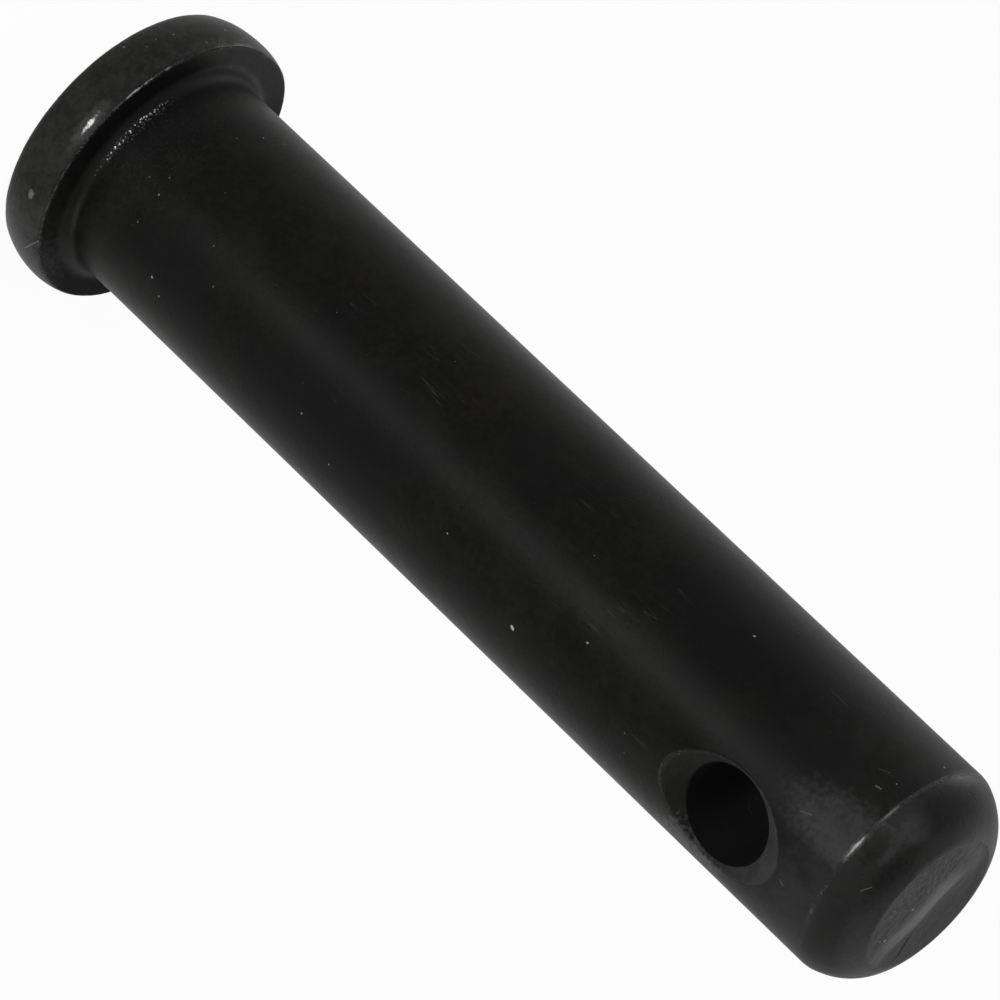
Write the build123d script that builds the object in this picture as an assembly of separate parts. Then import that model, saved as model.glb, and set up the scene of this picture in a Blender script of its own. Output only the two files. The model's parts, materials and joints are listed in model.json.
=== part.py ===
from build123d import *
from math import radians, tan
import os

# Clevis pin: a round shank with an upset head, a rounded end and one countersunk cross hole.
# It stands on its head: the origin is the centre of the head's flat outer face, and +Z runs
# along the shank to the cut end. The cross hole runs along X. Sizes are in millimetres.

# Shank
shank_diameter = 12.0
under_head_length = 55.5        # from the head's seating face to the cut end

# Head, upset from the bar, with a rim that bulges between its two edges
head_height = 3.0
head_overhang = 2.0             # the rim's fullest point, past the shank
crest_below_seat = 1.15         # the rim's fullest point, back from the seating face
seat_edge_setback = 0.22        # what the rim loses in radius at the seating face
outer_edge_setback = 0.45       # what the rim loses in radius at the outer face
seat_edge_radius = 0.1
outer_edge_radius = 0.25
under_head_fillet = 0.7

# Rounded end
point_length = 2.2
point_inset = 2.1               # from the shank's surface in to the flat of the end
point_bulge = 0.4               # height of the rounding above a straight chamfer
point_edge_radius = 0.12

# Cross hole, for a cotter pin or a spring clip
hole_diameter = 5.0
hole_to_end = 8.6               # from the hole's axis to the cut end
countersink_rim = 1.3           # width of the countersink where it meets the shank's crest
countersink_angle = 120.0
cutter_overshoot = 1.0

# Worked out from the sizes above
shank_radius = shank_diameter / 2
hole_radius = hole_diameter / 2
end_height = head_height + under_head_length
point_start = end_height - point_length
hole_height = end_height - hole_to_end
crest_radius = shank_radius + head_overhang
crest_height = head_height - crest_below_seat
seat_edge = (crest_radius - seat_edge_setback, head_height)
outer_edge = (crest_radius - outer_edge_setback, 0)
neck = (shank_radius, head_height)
shoulder = (shank_radius, point_start)
end_edge = (shank_radius - point_inset, end_height)


def turned_blank():
    """Head, shank and rounded end as one solid of revolution, with its edges still sharp."""
    crest = (crest_radius, crest_height)
    chord = Line(shoulder, end_edge)
    outward = Vector(point_length, point_inset).normalized()
    outline = [
        Line((0, 0), outer_edge),
        TangentArc(crest, outer_edge, tangent=(0, -1)),
        TangentArc(crest, seat_edge, tangent=(0, 1)),
        Line(seat_edge, neck),
        Line(neck, shoulder),
        ThreePointArc(shoulder, chord @ 0.5 + outward * point_bulge, end_edge),
        Line(end_edge, (0, end_height)),
        Line((0, end_height), (0, 0)),
    ]
    return revolve(Plane.XZ * make_face(outline), Axis.Z)


def round_edge(pin, edge_place, size):
    """Fillet the circular edge of a turned solid that lies at this radius and height."""
    radius, height = edge_place
    circles = pin.edges().filter_by(GeomType.CIRCLE)
    edge = circles.sort_by(lambda circle: abs(circle.radius - radius) + abs(circle.center().Z - height))[0]
    return fillet(edge, size)


def round_edges(pin):
    """Break the blank's outer edges, and fill the corner where the shank meets the head."""
    pin = round_edge(pin, neck, under_head_fillet)
    pin = round_edge(pin, seat_edge, seat_edge_radius)
    pin = round_edge(pin, outer_edge, outer_edge_radius)
    pin = round_edge(pin, shoulder, point_edge_radius)
    return round_edge(pin, end_edge, point_edge_radius)


def cross_hole_cutter():
    """The drill's path along X, with a countersink at each end that opens through the shank's crest."""
    sink_slope = tan(radians(countersink_angle / 2))
    sink_start = shank_radius - countersink_rim / sink_slope
    reach = shank_radius + cutter_overshoot
    reach_radius = hole_radius + (reach - sink_start) * sink_slope
    half_section = Polyline(
        (-reach, 0),
        (-reach, reach_radius),
        (-sink_start, hole_radius),
        (sink_start, hole_radius),
        (reach, reach_radius),
        (reach, 0),
        close=True,
    )
    cutter = revolve(Plane.XZ * make_face(half_section), Axis.X)
    return Pos(0, 0, hole_height) * cutter


clevis_pin = round_edges(turned_blank()) - cross_hole_cutter()

os.makedirs("parts", exist_ok=True)
export_step(clevis_pin, "parts/clevis_pin.step")
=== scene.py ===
import json
import logging
import math
from dataclasses import dataclass, field
from enum import Enum
from typing import Union

import bpy
import numpy as np
from mathutils import Matrix, Vector, noise


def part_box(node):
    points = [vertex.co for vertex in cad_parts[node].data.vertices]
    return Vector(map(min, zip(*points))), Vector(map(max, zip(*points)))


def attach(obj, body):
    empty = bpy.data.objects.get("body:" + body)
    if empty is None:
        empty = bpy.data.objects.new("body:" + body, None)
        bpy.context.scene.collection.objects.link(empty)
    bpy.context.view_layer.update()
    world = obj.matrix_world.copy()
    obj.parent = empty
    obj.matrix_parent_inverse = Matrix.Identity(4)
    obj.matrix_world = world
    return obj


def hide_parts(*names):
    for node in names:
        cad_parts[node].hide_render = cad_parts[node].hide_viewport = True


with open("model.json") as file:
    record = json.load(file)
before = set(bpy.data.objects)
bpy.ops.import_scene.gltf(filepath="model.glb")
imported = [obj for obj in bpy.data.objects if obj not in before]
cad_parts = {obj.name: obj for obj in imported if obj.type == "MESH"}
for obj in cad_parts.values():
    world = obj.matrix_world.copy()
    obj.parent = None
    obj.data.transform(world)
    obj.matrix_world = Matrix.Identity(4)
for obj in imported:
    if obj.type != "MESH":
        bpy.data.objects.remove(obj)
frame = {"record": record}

# The clevis pin stands on its head at the origin with its shank along +Z. Lengths are in metres, except in
# the lists of marks and of bands in its finish, which are in millimetres and degrees.

LOG = logging.getLogger("clevis_pin")
MM = 0.001
NODE = "clevis_pin"

Point2 = tuple[float, float]
Triple = tuple[float, float, float]
Socket = bpy.types.NodeSocket
Value = Union[Socket, Vector, Triple, str, float]


class Zone(Enum):
    """The stretches of the pin's surface that are finished differently."""

    HEAD = "head"
    NECK = "neck"
    SHANK = "shank"
    POINT = "point"
    CUT_END = "cut_end"
    COUNTERSINK = "countersink"
    BORE = "bore"


# ---------------------------------------------------------------- sizes


def mount(name: str) -> dict:
    """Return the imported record's mount with this name."""
    return next(m for m in frame["record"]["mounts"] if m["name"] == name)


@dataclass(frozen=True)
class PinSizes:
    """The pin's sizes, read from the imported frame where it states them.

    Args:
        end: height of the cut end over the head's outer face.
        crest: radius of the head's rim at its fullest.
        seat: height of the head's seating face.
        shank: radius of the shank.
        hole: radius of the cross hole.
        hole_height: height of the cross hole's axis.
        bore_half: distance from the pin's axis to where the bore meets its countersink.
        crest_below_seat: drop from the seating face to the rim's fullest point.
        seat_setback: radius that the rim loses at the seating face.
        outer_setback: radius that the rim loses at the outer face.
        under_head_fillet: radius of the fillet between shank and head.
        point_length: length of the rounded end.
        point_inset: radius that the rounded end takes off.
        point_bulge: height of the rounding above a straight chamfer.
        sink_half_angle: half of the countersink's angle, in degrees.
    """

    end: float
    crest: float
    seat: float
    shank: float
    hole: float
    hole_height: float
    bore_half: float
    crest_below_seat: float = 1.15 * MM
    seat_setback: float = 0.22 * MM
    outer_setback: float = 0.45 * MM
    under_head_fillet: float = 0.7 * MM
    point_length: float = 2.2 * MM
    point_inset: float = 2.1 * MM
    point_bulge: float = 0.4 * MM
    sink_half_angle: float = 60.0

    @classmethod
    def from_frame(cls) -> "PinSizes":
        """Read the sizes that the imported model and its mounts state.

        Returns:
            The pin's sizes in metres.
        """
        low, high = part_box(NODE)
        bore = mount("cross_hole")
        return cls(
            end=high.z,
            crest=(high.x - low.x) / 2,
            seat=mount("head_seat")["pos_m"][2],
            shank=mount("shank")["dims"]["r_mm"] * MM,
            hole=bore["dims"]["r_mm"] * MM,
            hole_height=bore["pos_m"][2],
            bore_half=bore["dims"]["length_mm"] * MM / 2,
        )

    @property
    def point_start(self) -> float:
        """Height at which the shank starts to round over."""
        return self.end - self.point_length

    @property
    def face_radius(self) -> float:
        """Radius of the flat of the cut end."""
        return self.shank - self.point_inset

    @property
    def sink_slope(self) -> float:
        """Radius that the countersink gains for each unit along its axis."""
        return math.tan(math.radians(self.sink_half_angle))


# ---------------------------------------------------------------- turned outline


@dataclass(frozen=True)
class Station:
    """One ring of the turned surface.

    Args:
        radius: distance from the pin's axis.
        height: height over the head's outer face.
        zone: the stretch of surface that the ring belongs to.
        edge: how close the ring is to an exposed edge, from 0 to 1.
    """

    radius: float
    height: float
    zone: Zone
    edge: float = 0.0


def stations_at(points: list[Point2], zone: Zone, edge: float = 0.0) -> list[Station]:
    """Make a ring at each (radius, height) of a stretch of the outline."""
    return [Station(radius, height, zone, edge) for radius, height in points]


def arc_with_vertical_start(start: Point2, stop: Point2, steps: int) -> list[Point2]:
    """Points of the arc that leaves start along the pin's axis and ends at stop.

    Args:
        start: (radius, height) where the arc is parallel to the axis.
        stop: (radius, height) where it ends.
        steps: number of steps along it.

    Returns:
        The points after start, stop included.
    """
    drop, rise = start[0] - stop[0], stop[1] - start[1]
    radius = (drop * drop + rise * rise) / (2 * drop)
    sweep = math.asin(rise / radius)
    turns = [sweep * i / steps for i in range(1, steps + 1)]
    return [(start[0] - radius * (1 - math.cos(t)), start[1] + radius * math.sin(t)) for t in turns]


def arc_over_chord(start: Point2, stop: Point2, bulge: float, steps: int) -> list[Point2]:
    """Points of the arc from start to stop that rises by bulge over its chord, on its outer side.

    Args:
        start: (radius, height) where the arc starts.
        stop: (radius, height) where it ends.
        bulge: height of the arc over the middle of its chord.
        steps: number of steps along it.

    Returns:
        The points from start to stop, both included.
    """
    a, b = np.array(start), np.array(stop)
    half = np.linalg.norm(b - a) / 2
    along = (b - a) / (2 * half)
    outward = np.array([along[1], -along[0]])
    radius = (half * half + bulge * bulge) / (2 * bulge)
    middle = (a + b) / 2 + outward * (bulge - radius)
    sweep = math.asin(half / radius)
    turns = [sweep * (2 * i / steps - 1) for i in range(steps + 1)]
    points = [middle + radius * (math.sin(t) * along + math.cos(t) * outward) for t in turns]
    return [(float(p[0]), float(p[1])) for p in points]


def rounded(before: Point2, corner: Point2, after: Point2, size: float, steps: int = 6) -> list[Point2]:
    """Points of a small rounding at a corner of the outline.

    Args:
        before: a point of the outline before the corner.
        corner: the sharp corner.
        after: a point of the outline after the corner.
        size: how far from the corner the rounding starts and ends.
        steps: number of steps along it.

    Returns:
        The rounding's points, both ends included.
    """
    c, p, q = np.array(corner), np.array(before), np.array(after)
    p = c + (p - c) / np.linalg.norm(p - c) * size
    q = c + (q - c) / np.linalg.norm(q - c) * size
    shares = [i / steps for i in range(steps + 1)]
    points = [p * (1 - t) ** 2 + 2 * c * t * (1 - t) + q * t * t for t in shares]
    return [(float(v[0]), float(v[1])) for v in points]


@dataclass
class TurnedOutline:
    """The pin's half section, from the middle of the head's outer face to the middle of the cut end.

    Args:
        sizes: the pin's sizes.
        window_half: half the height of the stretch that the cross hole's patches fill.
        row_pitch: spacing of the rings along the shank.
        last_gap: how far the shank's last ring stays below the rounded end.
        outer_turn: rounding between the outer face and the rim.
        seat_turn: rounding between the rim and the seating face.
        shoulder_turn: rounding between the shank and the rounded end.
        end_turn: rounding between the rounded end and the cut end.
        outer_edge: how exposed the edge round the outer face is, from 0 to 1.
        end_edge: how exposed the edge round the cut end is.
        face_shares: rings of the outer face, as shares of its radius.
        rim_steps: steps along each of the rim's two arcs.
        seat_steps: steps across the seating face.
        neck_steps: steps round the fillet under the head.
        point_steps: steps along the rounded end.
        end_rings: rings of the cut end.
    """

    sizes: PinSizes
    window_half: float = 4.9 * MM
    row_pitch: float = 0.3 * MM
    last_gap: float = 0.12 * MM
    outer_turn: float = 0.2 * MM
    seat_turn: float = 0.09 * MM
    shoulder_turn: float = 0.1 * MM
    end_turn: float = 0.09 * MM
    outer_edge: float = 0.6
    end_edge: float = 0.8
    face_shares: tuple[float, ...] = (0.15, 0.35, 0.55, 0.75, 0.9)
    rim_steps: int = 9
    seat_steps: int = 6
    neck_steps: int = 12
    point_steps: int = 22
    end_rings: int = 30

    def stations(self) -> list[Station]:
        """Rings of the whole outline in order, poles left out."""
        return self.head() + self.neck() + self.shank() + self.point() + self.cut_end()

    def head(self) -> list[Station]:
        """Make the outer face, the bulging rim and the seating face.

        Returns:
            Their rings, in order.
        """
        s = self.sizes
        crest = (s.crest, s.seat - s.crest_below_seat)
        outer = (s.crest - s.outer_setback, 0.0)
        seat_edge = (s.crest - s.seat_setback, s.seat)
        upper = arc_with_vertical_start(crest, seat_edge, self.rim_steps)
        mirrored = arc_with_vertical_start(crest, (outer[0], 2 * crest[1]), self.rim_steps)
        lower = [(r, 2 * crest[1] - z) for r, z in mirrored]
        turn = rounded((0.0, 0.0), outer, lower[-2], self.outer_turn)
        seat_turn = rounded(upper[-2], seat_edge, (s.shank, s.seat), self.seat_turn)
        rim = list(reversed(lower[:-1])) + [crest] + upper[:-1]
        rings = stations_at([(outer[0] * share, 0.0) for share in self.face_shares], Zone.HEAD)
        rings += stations_at(turn, Zone.HEAD, self.outer_edge)
        rings += stations_at([p for p in rim if turn[-1][1] < p[1] < seat_turn[0][1]], Zone.HEAD)
        rings += stations_at(seat_turn, Zone.HEAD, 1.0)
        reach, run = seat_turn[-1][0], s.shank + s.under_head_fillet - seat_turn[-1][0]
        steps = range(1, self.seat_steps + 1)
        return rings + stations_at([(reach + run * k / self.seat_steps, s.seat) for k in steps], Zone.HEAD)

    def neck(self) -> list[Station]:
        """Make the fillet under the head.

        Returns:
            Its rings, in order.
        """
        s = self.sizes
        size = s.under_head_fillet
        turns = [math.pi / 2 * i / self.neck_steps for i in range(1, self.neck_steps + 1)]
        places = [(s.shank + size * (1 - math.sin(t)), s.seat + size * (1 - math.cos(t))) for t in turns]
        return stations_at(places, Zone.NECK)

    def shank(self) -> list[Station]:
        """Make the straight shank, with a ring at each end of the stretch round the cross hole.

        Returns:
            Its rings, in order.
        """
        s = self.sizes
        low, high = s.hole_height - self.window_half, s.hole_height + self.window_half
        stops = (s.seat + s.under_head_fillet, low, high, s.point_start - self.last_gap)
        heights: list[float] = []
        for start, stop in zip(stops, stops[1:]):
            count = max(1, round((stop - start) / self.row_pitch))
            heights += [start + (stop - start) * k / count for k in range(1, count + 1)]
        return stations_at([(s.shank, height) for height in heights], Zone.SHANK)

    def point(self) -> list[Station]:
        """Make the rounded end, with its two edges broken.

        Returns:
            Its rings, in order.
        """
        s = self.sizes
        shoulder = (s.shank, s.point_start)
        end_edge = (s.face_radius, s.end)
        arc = arc_over_chord(shoulder, end_edge, s.point_bulge, self.point_steps)
        start = rounded((s.shank, 0.0), shoulder, arc[1], self.shoulder_turn)[1:]
        stop = rounded(arc[-2], end_edge, (0.0, s.end), self.end_turn)
        body = [p for p in arc if start[-1][1] < p[1] < stop[0][1]]
        rings = stations_at(start, Zone.POINT, 1.0) + stations_at(body, Zone.POINT)
        return rings + stations_at(stop, Zone.POINT, self.end_edge)

    def cut_end(self) -> list[Station]:
        """Make the flat of the cut end, from its edge towards the axis.

        Returns:
            Its rings, in order.
        """
        s = self.sizes
        edge = s.face_radius - self.end_turn
        shares = [1 - k / (self.end_rings + 1) for k in range(1, self.end_rings + 1)]
        return stations_at([(edge * share, s.end) for share in shares], Zone.CUT_END)


# ---------------------------------------------------------------- surface marks


def smooth_step(share: np.ndarray) -> np.ndarray:
    """Ease from 0 to 1 as share goes from 0 to 1."""
    t = np.clip(share, 0.0, 1.0)
    return t * t * (3 - 2 * t)


def eased(values: np.ndarray, band: Point2) -> np.ndarray:
    """Ease from 0 to 1 along a band given as its start and its width in millimetres."""
    return smooth_step((values - band[0] * MM) / (band[1] * MM))


def sideways(shift: np.ndarray, turn: np.ndarray | float) -> np.ndarray:
    """Level shifts of these sizes, each in the direction of its turn in radians."""
    return np.stack([shift * np.cos(turn), shift * np.sin(turn), np.zeros(len(shift))], axis=1)


@dataclass(frozen=True)
class Dent:
    """A small knock in the surface, given in degrees and millimetres.

    Args:
        azimuth: degrees round the pin from +X.
        height: height over the head's outer face.
        reach: radius of the dent.
        depth: depth at its middle.
    """

    azimuth: float
    height: float
    reach: float
    depth: float

    def shift(self, places: np.ndarray) -> np.ndarray:
        """Find how deep the dent is at each place.

        Args:
            places: places on the pin.

        Returns:
            The depth that the dent takes off the surface there.
        """
        turn = math.radians(self.azimuth)
        radius = np.hypot(places[:, 0], places[:, 1])
        across = places[:, 0] * -math.sin(turn) + places[:, 1] * math.cos(turn)
        facing = places[:, 0] * math.cos(turn) + places[:, 1] * math.sin(turn) > 0.5 * radius
        share = np.hypot(across, places[:, 2] - self.height * MM) / (self.reach * MM)
        return np.where(facing, self.depth * MM * np.exp(-share * share), 0.0)


@dataclass(frozen=True)
class Swelling:
    """A side of the head that spread a little further when it was upset.

    Args:
        azimuth: degrees round the pin from +X.
        spread: degrees to each side over which it dies away.
        size: how much further the rim stands out.
        inner: radius from which it grows.
        outer: radius at which it is full.
    """

    azimuth: float = -152.0
    spread: float = 26.0
    size: float = 0.25 * MM
    inner: float = 6.6 * MM
    outer: float = 7.7 * MM

    def shift(self, places: np.ndarray) -> np.ndarray:
        """Find how far the swelling moves each place.

        Args:
            places: places on the pin.

        Returns:
            The outward shift of each place.
        """
        turn = np.arctan2(places[:, 1], places[:, 0])
        radius = np.hypot(places[:, 0], places[:, 1])
        off = np.abs(np.angle(np.exp(1j * (turn - math.radians(self.azimuth)))))
        share = smooth_step(1 - off / math.radians(self.spread))
        grown = self.size * share * smooth_step((radius - self.inner) / (self.outer - self.inner))
        return sideways(grown, turn)


@dataclass(frozen=True)
class ShearedFace:
    """Relief of the cut end, left as the shear and the forming die made it.

    Distances along are measured in the blade's travel and distances across at right angles to it. A band
    is the start and the width, in millimetres, of a stretch over which something eases in.

    Args:
        azimuth: direction, in degrees, in which the shear blade travelled.
        offset: how far the blade dragged the end off the pin's axis.
        lip: distance along at which the face starts to drop.
        trough: distance at which it lies deepest.
        rim: distance at which it is level again.
        depth: depth of the trough.
        bow: how far the trough's line bends back at bow_half to each side.
        bow_half: distance across at which it has bent by that much.
        ripple: height of the waves in the trough's line.
        ripple_pitch: distance across in which they turn by one radian.
        slant: distance along that the lighter stripe, partly burnishing and partly painted sheen, loses for
            each unit across.
        burnish_and_sheen_in: band along over which the lighter stripe comes in.
        burnish_and_sheen_out: band along over which it goes.
        burnish_and_sheen_middle: distance across, in millimetres, that the stripe's middle is off.
        burnish_and_sheen_ends: band across over which it fades towards its ends.
        burnish_and_sheen_side: band across where a fainter stripe comes in.
        burnish_and_sheen_least: how bright the stripe stays at its ends.
        burnish_and_sheen_faint: how bright the fainter stripe is.
        tear: band along over which the torn grain dies away in the finish.
        tear_lost: how much of it goes there.
        smear: band along over which it is smeared in the relief.
        smear_lost: how much of it goes there.
        grain: depth of the torn grain before the trough.
        grain_scale: torn grains in a metre.
        flow_scale: streaks of smeared grain in a metre, along and across.
        flow: height of the streaks, as a share of the grain.
        grain_base: depth of the grain's middle, as a share of the grain.
        fold: middle line of a fine fold in the metal, as points of (along, across).
        fold_depth: depth of the fold.
        fold_width: width of the fold.
        edge_radius: radius at which the relief has died away.
        edge_ease: width over which it dies away.
    """

    azimuth: float = 131.0
    offset: float = 0.42 * MM
    lip: float = 0.1 * MM
    trough: float = 1.75 * MM
    rim: float = 4.3 * MM
    depth: float = 0.10 * MM
    bow: float = 0.35 * MM
    bow_half: float = 3.9 * MM
    ripple: float = 0.08 * MM
    ripple_pitch: float = 0.55 * MM
    slant: float = 0.16
    burnish_and_sheen_in: Point2 = (-0.8, 1.4)
    burnish_and_sheen_out: Point2 = (1.0, 0.5)
    burnish_and_sheen_middle: float = 0.4
    burnish_and_sheen_ends: Point2 = (1.7, 1.5)
    burnish_and_sheen_side: Point2 = (2.2, 1.0)
    burnish_and_sheen_least: float = 0.15
    burnish_and_sheen_faint: float = 0.3
    tear: Point2 = (-0.3, 0.7)
    tear_lost: float = 0.7
    smear: Point2 = (0.1, 0.7)
    smear_lost: float = 0.8
    grain: float = 0.016 * MM
    grain_scale: float = 2100.0
    flow_scale: Point2 = (6500.0, 700.0)
    flow: float = 0.7
    grain_base: float = 1.2
    fold: tuple[Point2, ...] = ((2.0 * MM, -1.5 * MM), (2.65 * MM, -2.45 * MM), (2.45 * MM, -3.2 * MM))
    fold_depth: float = 0.04 * MM
    fold_width: float = 0.07 * MM
    edge_radius: float = 3.85 * MM
    edge_ease: float = 0.7 * MM

    def local(self, places: np.ndarray) -> tuple[np.ndarray, np.ndarray]:
        """Measure places in the blade's travel.

        Args:
            places: places on the pin.

        Returns:
            Their distances along and across.
        """
        turn = math.radians(self.azimuth)
        along = places[:, 0] * math.cos(turn) + places[:, 1] * math.sin(turn)
        across = places[:, 1] * math.cos(turn) - places[:, 0] * math.sin(turn)
        return along, across

    def rippled(self, across: np.ndarray) -> np.ndarray:
        """Waves in the trough's line at each distance across."""
        return self.ripple * np.sin(across / self.ripple_pitch)

    def trough_drop(self, along: np.ndarray, across: np.ndarray) -> np.ndarray:
        """Find the depth of the wide trough, which bends a little.

        Args:
            along: distances along.
            across: distances across.

        Returns:
            Its depth at each place.
        """
        bent = along + self.bow * (across / self.bow_half) ** 2 + self.rippled(across)
        falling = smooth_step((bent - self.lip) / (self.trough - self.lip))
        rising = 1 - smooth_step((bent - self.trough) / (self.rim - self.trough))
        return self.depth * falling * rising

    def burnish_and_sheen_share(self, places: np.ndarray) -> np.ndarray:
        """Find the lighter stripe across the cut end, partly the blade's burnishing and partly painted
        sheen: most where the face falls away and catches more reflection.

        Args:
            places: places on the cut end.

        Returns:
            The stripe's share, from 0 to 1.
        """
        along, across = self.local(places)
        bent = along + self.slant * across + self.rippled(across)
        near = eased(bent, self.burnish_and_sheen_in)
        far = 1 - eased(bent, self.burnish_and_sheen_out)
        ends = 1 - eased(np.abs(across + self.burnish_and_sheen_middle * MM), self.burnish_and_sheen_ends)
        strong = near * far * (self.burnish_and_sheen_least + (1 - self.burnish_and_sheen_least) * ends)
        return np.maximum(strong, self.burnish_and_sheen_faint * eased(across, self.burnish_and_sheen_side))

    def torn(self, places: np.ndarray) -> np.ndarray:
        """How coarse each place is, from 0 to 1: most before the trough."""
        along, across = self.local(places)
        return 1 - self.tear_lost * eased(along + self.slant * across, self.tear)

    def drag(self, places: np.ndarray, start: float, length: float) -> np.ndarray:
        """Find the sideways shift of each place, growing along the rounded end.

        Args:
            places: places on the pin.
            start: height at which the rounded end starts.
            length: its length.

        Returns:
            The shift of each place.
        """
        share = smooth_step((places[:, 2] - start) / length) * self.offset
        return sideways(share, math.radians(self.azimuth))

    def fold_drop(self, along: np.ndarray, across: np.ndarray) -> np.ndarray:
        """Find the depth of the fine fold.

        Args:
            along: distances along.
            across: distances across.

        Returns:
            Its depth at each place.
        """
        here = np.stack([along, across], axis=1)
        nearest = np.full(len(here), 1.0)
        for start, stop in zip(self.fold, self.fold[1:]):
            a, run = np.array(start), np.array(stop) - np.array(start)
            share = np.clip((here - a) @ run / (run @ run), 0.0, 1.0)
            gap = np.linalg.norm(here - a - share[:, None] * run, axis=1)
            nearest = np.minimum(nearest, gap)
        return self.fold_depth * np.exp(-((nearest / self.fold_width) ** 2))

    def drop(self, places: np.ndarray) -> np.ndarray:
        """Find how far the surface lies under the flat of the end.

        Args:
            places: places on the cut end.

        Returns:
            The drop at each place.
        """
        along, across = self.local(places)
        torn = np.array([noise.fractal(Vector(p) * self.grain_scale, 0.7, 2.1, 4) for p in places])
        streaks = zip(along * self.flow_scale[0], across * self.flow_scale[1])
        flow = self.flow * np.array([noise.noise(Vector((a, c, 9.0))) for a, c in streaks])
        near = 1 - self.smear_lost * eased(along, self.smear)
        rough = self.grain * (self.grain_base + torn * near + flow * (1 - near))
        deep = self.trough_drop(along, across) + self.fold_drop(along, across)
        turn = math.radians(self.azimuth)
        middle = (self.offset * math.cos(turn), self.offset * math.sin(turn))
        out = np.hypot(places[:, 0] - middle[0], places[:, 1] - middle[1])
        inside = smooth_step((self.edge_radius - out) / self.edge_ease)
        return deep * inside + np.maximum(rough, 0.0)


# ---------------------------------------------------------------- mesh


def add_object(name: str, data: bpy.types.ID) -> bpy.types.Object:
    """Put data into the scene as an object.

    Args:
        name: the object's name.
        data: its mesh, light or camera.

    Returns:
        The object.
    """
    made = bpy.data.objects.new(name, data)
    bpy.context.scene.collection.objects.link(made)
    return made


def add_mask(mesh: bpy.types.Mesh, name: str, values: np.ndarray) -> None:
    """Keep a number from 0 to 1 at each vertex, under a name that a finish can read."""
    mesh.attributes.new(name, "FLOAT", "POINT").data.foreach_set("value", values.astype(np.float32))


@dataclass
class SurfaceDraft:
    """Vertices and faces of a mesh while it is being put together.

    Args:
        places: where each vertex is.
        zones: the stretch of surface that each belongs to.
        edges: how close each is to an exposed edge, from 0 to 1.
        faces: the faces, as numbers of vertices.
    """

    places: list[Triple] = field(default_factory=list)
    zones: list[Zone] = field(default_factory=list)
    edges: list[float] = field(default_factory=list)
    faces: list[tuple[int, ...]] = field(default_factory=list)

    def add(self, place: Triple, zone: Zone, edge: float = 0.0) -> int:
        """Add a vertex.

        Args:
            place: where it is.
            zone: the stretch of surface that it belongs to.
            edge: how close it is to an exposed edge, from 0 to 1.

        Returns:
            Its number.
        """
        self.places.append(place)
        self.zones.append(zone)
        self.edges.append(edge)
        return len(self.places) - 1

    def bridge(self, ring: list[int], following: list[int], flipped: bool = False) -> None:
        """Join two closed rings of as many vertices with quads.

        Args:
            ring: vertices of the first ring.
            following: vertices of the next ring.
            flipped: turns the quads over.
        """
        for k in range(len(ring)):
            after = (k + 1) % len(ring)
            quad = (ring[k], ring[after], following[after], following[k])
            self.faces.append(tuple(reversed(quad)) if flipped else quad)


@dataclass(frozen=True)
class Spoke:
    """One line of vertices from the window's frame into the cross hole.

    Args:
        cosine: cosine of its direction, from straight across the pin.
        sine: sine of the same.
        edge: distance from the hole's axis to the countersink's edge.
        rings: distance from the hole's axis, zone and edge share of each of its vertices.
    """

    cosine: float
    sine: float
    edge: float
    rings: list[tuple[float, Zone, float]]


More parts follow.
